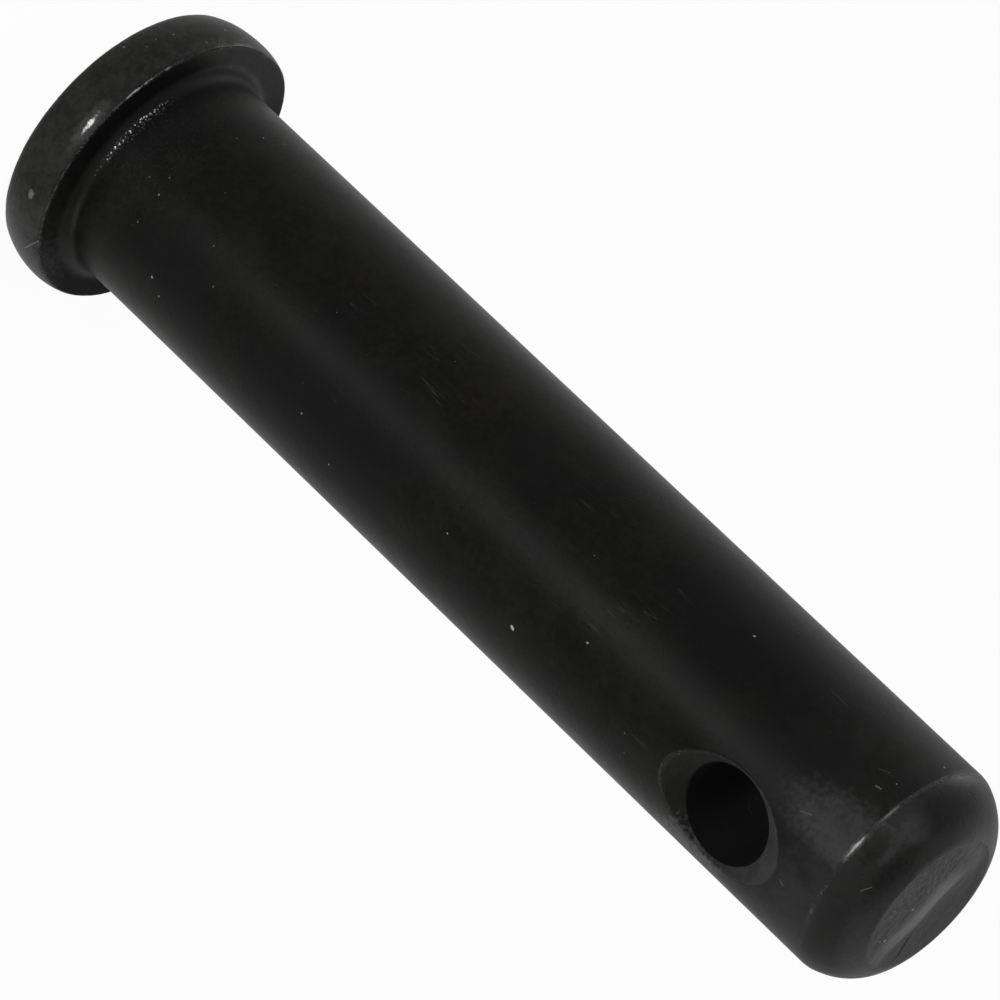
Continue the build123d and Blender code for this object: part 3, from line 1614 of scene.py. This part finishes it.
    # Partly wear, partly painted glints: bare steel spots laid on the lamp glints, with faint halos.
    rubbed_and_glints: tuple[Patch, ...] = (
        Patch(-36.0, 2.58, 7.94, 0.72, 0.15, 0.8),
        Patch(-36.0, 2.52, 7.94, 1.8, 0.5, 0.06, 0.3),
        Patch(-57.5, 56.3, 5.99, 0.85, 0.08, 0.32, 0.2),
        Patch(-52.0, 56.32, 5.99, 2.2, 0.25, 0.05),
        Patch(-36.5, 56.3, 5.99, 0.8, 0.1, 0.9, 0.2),
        Patch(-36.5, 56.3, 5.99, 1.0, 0.22, 0.2, 0.3),
        Patch(-0.6, 1.9, 7.98, 0.34, 0.2, 0.3),
        Patch(-55.0, 2.97, 7.84, 0.8, 0.06, 0.6),
        Patch(-61.0, 2.97, 7.84, 0.4, 0.06, 0.5),
        Patch(-70.5, 2.97, 7.84, 0.6, 0.06, 0.35),
        Patch(-62.0, 2.96, 7.84, 4.5, 0.05, 0.1),
        Patch(-2.0, 2.96, 7.84, 4.5, 0.05, 0.1),
    )
    # Partly wear, partly painted glints: bead tops laid along the lines of sparkle.
    crests: tuple[Patch, ...] = (
        Patch(-46.0, 3.45, 6.05, 2.9, 0.12, 1.0),
        Patch(-48.0, 3.6, 6.0, 2.7, 0.3, 0.12),
        Patch(-44.0, 5.4, 6.0, 4.2, 2.6, 0.014, 1.0),
    )
    # Painted highlight and painted reflection: lighter patches on the shank near the point, on the rim's
    # lower side and in the countersink.
    sheen_patches: tuple[Patch, ...] = (
        Patch(4.0, 56.5, 6.0, 5.5, 4.5, 0.32, 0.15),
        Patch(-36.0, 56.5, 6.0, 2.2, 5.5, 0.66, 0.2),
        Patch(34.0, 1.2, 8.0, 4.5, 2.6, 1.0, 0.2),
        Patch(29.0, 48.8, 5.6, 1.1, 2.2, 0.9, 1.0),
    )
    # Painted highlight: where the lamps' highlights fall on the rounded point.
    point_sheen_patches: tuple[Patch, ...] = (
        Patch(-49.0, 57.3, 5.4, 1.3, 0.8, 0.35, 0.8),
        Patch(-64.0, 57.4, 5.3, 1.2, 0.9, 0.6, 0.3),
        Patch(30.0, 59.0, 4.8, 14.0, 1.5, 0.6, 0.1),
    )
    # Painted shade: where the point and its end edge reflect shade.
    painted_shade_patches: tuple[Patch, ...] = (
        Patch(-88.0, 57.3, 5.3, 3.0, 1.5, 0.7, 0.2),
        Patch(-38.0, 58.4, 4.8, 3.4, 1.0, 0.85, 0.2),
        Patch(-42.0, 56.9, 5.6, 1.2, 0.6, 0.7, 0.3),
    )
    fibres: tuple[Lint, ...] = (
        Lint((-31.1, 53.12, 6.0), (-33.5, 53.69, 6.0), 0.03, 0.08),
        Lint((-62.4, 54.82, 6.0), (-63.0, 55.09, 6.0), 0.04, 0.17),
        Lint((-69.4, 54.24, 6.0), (-71.8, 54.72, 6.0), 0.025, 0.05),
        Lint((0.1, 54.21, 6.0), (1.4, 54.49, 6.0), 0.03, 0.12),
        Lint((-21.2, 57.53, 5.14), (-25.7, 57.75, 4.88), 0.032, 0.14),
        Lint((26.0, 2.1, 8.0), (21.2, 2.55, 7.93), 0.035, 0.2),
        Lint((21.2, 2.55, 7.93), (17.2, 2.93, 7.8), 0.035, 0.2),
        Lint((2.5, 35.67, 6.0), (3.0, 35.75, 6.0), 0.09, 0.8),
        Lint((-19.2, 39.53, 6.0), (-19.4, 39.57, 6.0), 0.05, 0.45),
        Lint((-75.0, 45.11, 6.0), (-75.3, 45.15, 6.0), 0.05, 0.45),
        Lint((1.2, 9.03, 6.0), (1.4, 9.05, 6.0), 0.06, 0.5),
        Lint((5.9, 58.48, 0.97), (6.2, 58.48, 0.97), 0.07, 0.8),
        Lint((38.2, 58.48, 2.69), (38.4, 58.48, 2.69), 0.07, 0.8),
    )
    specks: tuple[tuple[float, ...], ...] = (
        (-82.0, 1.44, 8.0, 0.05, 0.35),
        (-64.5, 0.57, 7.8, 0.06, 0.3),
        (-70.1, 1.37, 8.0, 0.05, 0.25),
        (-75.1, 1.24, 7.95, 0.05, 0.15),
        (-105.2, 1.94, 8.0, 0.06, 0.35),
        (-91.2, 2.55, 7.92, 0.05, 0.2),
        (-40.9, 2.51, 7.93, 0.08, 0.12),
        (-32.2, 6.97, 6.0, 0.055, 0.28),
        (-35.2, 5.94, 6.0, 0.05, 0.14),
        (-41.3, 6.77, 6.0, 0.05, 0.14),
        (-15.5, 6.89, 6.0, 0.055, 0.16),
        (-32.6, 11.08, 6.0, 0.055, 0.12),
        (-18.3, 12.4, 6.0, 0.055, 0.14),
        (-78.9, 7.26, 6.0, 0.045, 0.08),
        (-54.1, 9.48, 6.0, 0.045, 0.06),
        (-97.5, 55.75, 6.0, 0.06, 0.3),
        (-101.5, 56.5, 5.94, 0.045, 0.3),
        (-70.0, 55.36, 6.0, 0.04, 0.25),
        (32.0, 58.48, 2.97, 0.05, 0.4),
        (-10.5, 58.48, 2.65, 0.045, 0.4),
        (-24.7, 58.48, 2.67, 0.04, 0.35),
        (-94.4, 58.48, 2.54, 0.04, 0.35),
        (-156.6, 58.44, 2.4, 0.05, 0.35),
        (48.3, 58.48, 2.25, 0.04, 0.35),
        (-3.1, 58.48, 2.72, 0.045, 0.35),
    )

    def dress(self, piece: bpy.types.Object) -> None:
        """Build the material and give it to the piece.

        Args:
            piece: the object that gets it.
        """
        material, wiring = fresh_material(self.name)
        self.measure(wiring)
        values = {
            "IOR": self.ior,
            "Metallic": "worn",
            "Base Color": self.colour(wiring),
            "Roughness": self.rough(wiring),
            "Normal": self.bump(wiring),
        }
        shader = wiring.feed_all(wiring.node("ShaderNodeBsdfPrincipled"), values)
        wiring.close("ShaderNodeOutputMaterial", shader)
        piece.data.materials.clear()
        piece.data.materials.append(material)

    def measure(self, wiring: Wiring) -> None:
        """Keep the measures, masks, textures and marks that the finish reads by name.

        Args:
            wiring: the finish's nodes.
        """
        kept = wiring.kept
        kept["place"] = wiring.node("ShaderNodeTexCoord").outputs["Object"]
        parts = wiring.fed("ShaderNodeSeparateXYZ", "place").outputs
        kept["east"], kept["north"], kept["height"] = parts["X"], parts["Y"], parts["Z"]
        for name in self.masks:
            kept[name] = wiring.node("ShaderNodeAttribute", attribute_name=name).outputs["Fac"]
        kept["turn"] = wiring.math("ARCTAN2", "north", "east")
        squares = wiring.total(wiring.times("east", "east"), wiring.times("north", "north"))
        kept["radius"] = wiring.math("SQRT", squares)
        for name, (pitch, detail, roughness) in self.textures:
            kept[name] = wiring.noise(pitch * MM, detail, roughness)
        for name, bands in self.bands:
            kept[name] = wiring.times(*(band.share(wiring) for band in bands))
        away = wiring.cells(self.bead_pitch).outputs["Distance"]
        kept["beads"] = wiring.math("SUBTRACT", 1.0, wiring.times(away, away), clamp=True)
        kept["cloudy"] = wiring.total("mottle", "scale")
        for name, source, *levels in self.levels:
            kept[name] = wiring.ramp(source, *levels)
        kept["dust"] = self.dust_share(wiring)
        kept["worn"] = self.worn_share(wiring)
        kept["smoother"] = wiring.times("worn", self.smoother)

    def strongest(self, wiring: Wiring, patches: tuple[Patch, ...]) -> Socket:
        """The strongest of several patches at each place."""
        return wiring.greatest(*(patch.share(wiring) for patch in patches))

    def dust_share(self, wiring: Wiring) -> Socket:
        """Find where dust and fibres lie.

        Args:
            wiring: the finish's nodes.

        Returns:
            How much they hide of the surface, from 0 to 1.
        """
        cells = wiring.cells(self.dust_pitch)
        split = wiring.fed("ShaderNodeSeparateColor", cells.outputs["Color"])
        size = wiring.ramp(split.outputs[0], self.dust_rarity, 1.0, 0.0, self.dust_size)
        grains = wiring.math("LESS_THAN", cells.outputs["Distance"], size)
        least, more = self.dust_cover
        grains = wiring.times(grains, wiring.plus(least, split.outputs[1], more))
        lint = self.fibres + tuple(Lint(row[:3], row[:3], *row[3:]) for row in self.specks)
        return wiring.greatest(grains, *(piece.share(wiring) for piece in lint))

    def worn_share(self, wiring: Wiring) -> Socket:
        """Find where the oxide is worn through: in beads along the edges, in spots and in scratches; the
        spots and the bead tops are laid on the lamp glints and are partly painted glints.

        Args:
            wiring: the finish's nodes.

        Returns:
            How bare the steel is, from 0 to 1.
        """
        edges = wiring.times(
            wiring.math("POWER", "edge", 2.0),
            "patchy",
            "grain_tops",
            self.edge_rub,
            wiring.plus(1.0, "drilled", -self.hole_rub),
            "near_end",
        )
        # Partly wear, partly painted glints: the spots are laid on the lamp glints.
        spots = wiring.times(self.strongest(wiring, self.rubbed_and_glints), "spotty")
        # Partly wear, partly painted glints along the lines of sparkle.
        tops = wiring.times(self.strongest(wiring, self.crests), "bead_tops")
        streaks = []
        for turn, pitch in self.scratches:
            line = wiring.noise(pitch * MM, 1.0, 0.5, wiring.stretched(self.scratch_stretch, turn))
            off = wiring.math("ABSOLUTE", wiring.math("SUBTRACT", line, 0.5))
            streaks.append(wiring.times(wiring.ramp(off, 0.0, self.scratch_width, 1.0, 0.0), "rare"))
        scratches = wiring.times(wiring.greatest(*streaks), self.scratch_rub)
        found = wiring.greatest(edges, wiring.greatest(spots, tops), scratches)
        return wiring.without(found, "dust")

    def haze_and_sheen_share(self, wiring: Wiring) -> Socket:
        """Find where lighter grey is laid: mostly painted sheen, partly a greyer oxide near the point, less
        the painted shade.

        Args:
            wiring: the finish's nodes.

        Returns:
            How much lighter grey there is, from 0 to 1.
        """
        found = wiring.total(wiring.times("tip", self.tip_haze_and_sheen), self.strongest(wiring, self.sheen_patches))
        found = wiring.times(found, "uneven_haze")
        point_sheen_patches = wiring.total(self.point_haze_and_sheen, self.strongest(wiring, self.point_sheen_patches))
        found = wiring.plus(wiring.without(found, "point"), "point", point_sheen_patches)
        # Painted light at the foot of the shank.
        found = wiring.greatest(found, wiring.times("neck", self.neck_painted_light))
        # Painted shade takes the lighter grey away.
        return wiring.without(found, self.strongest(wiring, self.painted_shade_patches))

    def colour(self, wiring: Wiring) -> Socket:
        """Lay the colours over each other, from the oxide up to the dust.

        Args:
            wiring: the finish's nodes.

        Returns:
            The surface's colour.
        """
        worked = wiring.times("uneven_drilling", "past_hole")
        least = wiring.plus(self.torn_least[0], "torn", -self.torn_least[1])
        speckled = wiring.ramp(wiring.total("grain", "scale"), *self.torn_levels, least, 1.0)
        found = self.black
        for share, over in (
            ("thin_oxide", self.warm),
            ("oiled", self.cool),
            (wiring.times("rim", "scaly"), self.forged),
            # Lighter grey: mostly painted sheen and painted shade, partly a greyer oxide near the point.
            (self.haze_and_sheen_share(wiring), self.haze_and_sheen),
            (wiring.times("drilled", worked), self.drilled),
            # Painted shade inside the bore.
            ("bore", self.bore),
            (wiring.times("cut", speckled), self.torn),
            # The cut end's lighter stripe: partly burnishing, partly painted sheen.
            (wiring.times("burnish", "streaky"), self.burnish),
            ("worn", self.steel),
            ("dust", self.dust),
        ):
            found = wiring.tint(share, found, over)
        return found

    def rough(self, wiring: Wiring) -> Socket:
        """Find how rough the surface is.

        Args:
            wiring: the finish's nodes.

        Returns:
            Its roughness.
        """
        small, wide = self.rough_spread
        found = wiring.plus(self.roughness - small / 2, "mottle", small)
        found = wiring.plus(found, wiring.math("SUBTRACT", "broad", 0.5), wide)
        for name, amount in self.rougher:
            found = wiring.plus(found, name, amount)
        return wiring.math("MAXIMUM", found, wiring.times("dust", self.dust_rough), clamp=True)

    def bump(self, wiring: Wiring) -> Socket:
        """Raise the grain, beads, tool marks and dust, and sink the pits.

        Args:
            wiring: the finish's nodes.

        Returns:
            The surface's normal.
        """
        smooth = wiring.times("bore", -self.bore_smooth)
        coarse = wiring.total(wiring.times("torn", self.torn_coarse), smooth, 1.0)
        fine = wiring.total(wiring.times("grain", self.grain), wiring.times("beads", self.bead))
        away = wiring.cells(self.pit_pitch).outputs["Distance"]
        turned = wiring.noise(self.tool_pitch, 2.0, 0.5, wiring.stretched(self.tool_stretch))
        marks = wiring.plus("drilled", "bore", -self.tool_rubbed)
        height = wiring.total(
            wiring.times(fine, coarse),
            wiring.times("waves", self.mottle),
            wiring.ramp(away, 0.0, self.pit_size, -self.pit, 0.0),
            wiring.times(turned, self.tool_mark, marks),
            wiring.times("dust", self.speck),
        )
        values = {"Strength": 1.0, "Distance": 1.0, "Height": height}
        return wiring.feed_all(wiring.node("ShaderNodeBump"), values).outputs["Normal"]


@dataclass(frozen=True)
class PaleFloor:
    """The studio's pale floor, white to the camera and to shiny surfaces, with the pin's shadow on it.

    Args:
        colour: colour that the floor gives back.
        shown_white: how much of the floor's look is plain white.
        reach: half the floor's side.
        drop: how far it lies under the pin.
    """

    colour: Triple = (0.86, 0.86, 0.85)
    shown_white: float = 0.94
    reach: float = 2.5
    drop: float = 0.02 * MM

    def build(self) -> bpy.types.Object:
        """Make the floor under the pin.

        Returns:
            The floor's object.
        """
        r = self.reach
        mesh = bpy.data.meshes.new("floor")
        mesh.from_pydata([(-r, -r, 0.0), (r, -r, 0.0), (r, r, 0.0), (-r, r, 0.0)], [], [(0, 1, 2, 3)])
        floor = add_object("floor", mesh)
        floor.location = (0.0, 0.0, -self.drop)
        material, wiring = fresh_material("pale_floor")
        matt = wiring.node("ShaderNodeBsdfDiffuse")
        matt.inputs["Color"].default_value = (*self.colour, 1.0)
        white = wiring.node("ShaderNodeEmission")
        white.inputs["Strength"].default_value = 1.0
        share = wiring.times(wiring.shown(), self.shown_white)
        mixed = wiring.fed("ShaderNodeMixShader", share, matt.outputs[0], white.outputs[0])
        wiring.close("ShaderNodeOutputMaterial", mixed)
        mesh.materials.append(material)
        return floor


# ---------------------------------------------------------------- studio


@dataclass(frozen=True)
class Lamp:
    """A soft lamp that faces the pin.

    Args:
        name: the lamp's name.
        azimuth: degrees round the pin from +X.
        reach: distance from the pin's axis.
        height: height over the floor.
        width: the lamp's width.
        depth: the lamp's height.
        power: the lamp's power in watts.
    """

    name: str
    azimuth: float
    reach: float
    height: float
    width: float
    depth: float
    power: float

    def build(self, target: Vector) -> bpy.types.Object:
        """Make the lamp.

        Args:
            target: the place that it faces.

        Returns:
            The lamp's object.
        """
        light = bpy.data.lights.new(self.name, "AREA")
        light.shape = "RECTANGLE"
        light.size, light.size_y = self.width, self.depth
        light.energy = self.power
        turn = math.radians(self.azimuth)
        lamp = add_object(self.name, light)
        lamp.location = (self.reach * math.cos(turn), self.reach * math.sin(turn), self.height)
        lamp.rotation_mode = "QUATERNION"
        lamp.rotation_quaternion = (lamp.location - target).to_track_quat("Z", "Y")
        lamp.visible_camera = False
        return lamp


@dataclass(frozen=True)
class ViewCamera:
    """The camera, given by where it stands round the pin.

    Args:
        aim: place that it looks at, from the middle of the pin.
        azimuth: degrees round the pin from +X.
        elevation: degrees over the floor.
        distance: distance from the place that it looks at.
        roll: degrees that it is turned about its line of sight.
        lens: focal length in millimetres.
        sensor: width of the sensor in millimetres.
        near: nearest distance that it sees.
        far: furthest distance that it sees.
    """

    aim: Triple = (0.11 * MM, 0.13 * MM, -0.57 * MM)
    azimuth: float = -40.59
    elevation: float = 24.698
    distance: float = 327.13 * MM
    roll: float = 133.648
    lens: float = 245.41
    sensor: float = 36.0
    near: float = 0.01
    far: float = 20.0

    def build(self, middle: Vector) -> bpy.types.Object:
        """Make the camera and use it.

        Args:
            middle: the middle of the pin.

        Returns:
            The camera's object.
        """
        turn, rise, tilt = (math.radians(v) for v in (self.azimuth, self.elevation, self.roll))
        away = Vector((math.cos(turn) * math.cos(rise), math.sin(turn) * math.cos(rise), math.sin(rise)))
        level = (-away).cross(Vector((0.0, 0.0, 1.0))).normalized()
        upright = level.cross(-away)
        right = level * math.cos(tilt) + upright * math.sin(tilt)
        up = upright * math.cos(tilt) - level * math.sin(tilt)
        data = bpy.data.cameras.new("view")
        data.lens, data.sensor_width = self.lens, self.sensor
        data.clip_start, data.clip_end = self.near, self.far
        camera = add_object("view", data)
        place = Matrix.Translation(middle + Vector(self.aim) + away * self.distance)
        camera.matrix_world = place @ Matrix((right, up, away)).transposed().to_4x4()
        bpy.context.scene.camera = camera
        return camera


@dataclass(frozen=True)
class Studio:
    """Plain soft light on a pale floor.

    Args:
        surroundings: strength of the plain white surroundings.
        floor: the floor.
        lamps: the soft lamps.
    """

    surroundings: float = 0.4
    floor: PaleFloor = PaleFloor()
    lamps: tuple[Lamp, ...] = (
        Lamp("band_lamp", -26.0, 0.08, 0.018, 0.025, 0.034, 0.026),
        Lamp("foot_lamp", -26.0, 0.036, 0.002, 0.010, 0.003, 0.0018),
        Lamp("strip_lamp", -64.0, 0.32, 0.30, 0.50, 0.10, 1.0),
        Lamp("side_lamp", 203.0, 0.6, 0.02, 0.25, 0.20, 3.3),
        Lamp("edge_lamp", 43.0, 0.6, 0.02, 0.25, 0.20, 1.7),
        Lamp("back_lamp", 155.0, 0.3, 0.19, 0.12, 0.12, 0.10),
    )

    def build(self, middle: Vector) -> list[bpy.types.Object]:
        """Make the surroundings, the floor and the lamps.

        Args:
            middle: the middle of the pin.

        Returns:
            The floor and the lamps.
        """
        floor = self.floor.build()
        lamps = [lamp.build(middle) for lamp in self.lamps]
        self.sky()
        bpy.context.scene.view_settings.view_transform = "Standard"
        return [floor, *lamps]

    def sky(self) -> None:
        """Make the surroundings: plain light on the pin, and white behind it."""
        world = bpy.data.worlds.new("surroundings")
        bpy.context.scene.world = world
        world.use_nodes = True
        wiring = Wiring(world.node_tree)
        back = wiring.node("ShaderNodeBackground")
        back.inputs["Color"].default_value = (1.0, 1.0, 1.0, 1.0)
        strength = wiring.plus(self.surroundings, wiring.shown(), 1.0 - self.surroundings)
        wiring.feed(back.inputs["Strength"], strength)
        wiring.close("ShaderNodeOutputWorld", back)


# ---------------------------------------------------------------- the scene


@dataclass
class ClevisPin:
    """The clevis pin: its body and its finish.

    Args:
        sizes: the pin's sizes.
        finish: the pin's finish.
    """

    sizes: PinSizes
    finish: BlackOxide = BlackOxide()

    def build(self) -> bpy.types.Object:
        """Build the pin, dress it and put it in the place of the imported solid.

        Returns:
            The pin's object.
        """
        body = PinBody(self.sizes).build()
        self.finish.dress(body)
        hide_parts(NODE)
        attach(body, "root")
        return body


def main() -> None:
    """Build the pin and its studio, and log each piece."""
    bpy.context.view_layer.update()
    logging.basicConfig(level=logging.INFO, format="%(name)s: %(message)s")
    sizes = PinSizes.from_frame()
    body = ClevisPin(sizes).build()
    LOG.info("%s: %d vertices, %d faces", body.name, len(body.data.vertices), len(body.data.polygons))
    middle = Vector((0.0, 0.0, sizes.end / 2))
    for piece in (*Studio().build(middle), ViewCamera().build(middle)):
        LOG.info("%s: in place", piece.name)


if __name__ == "__main__":
    main()
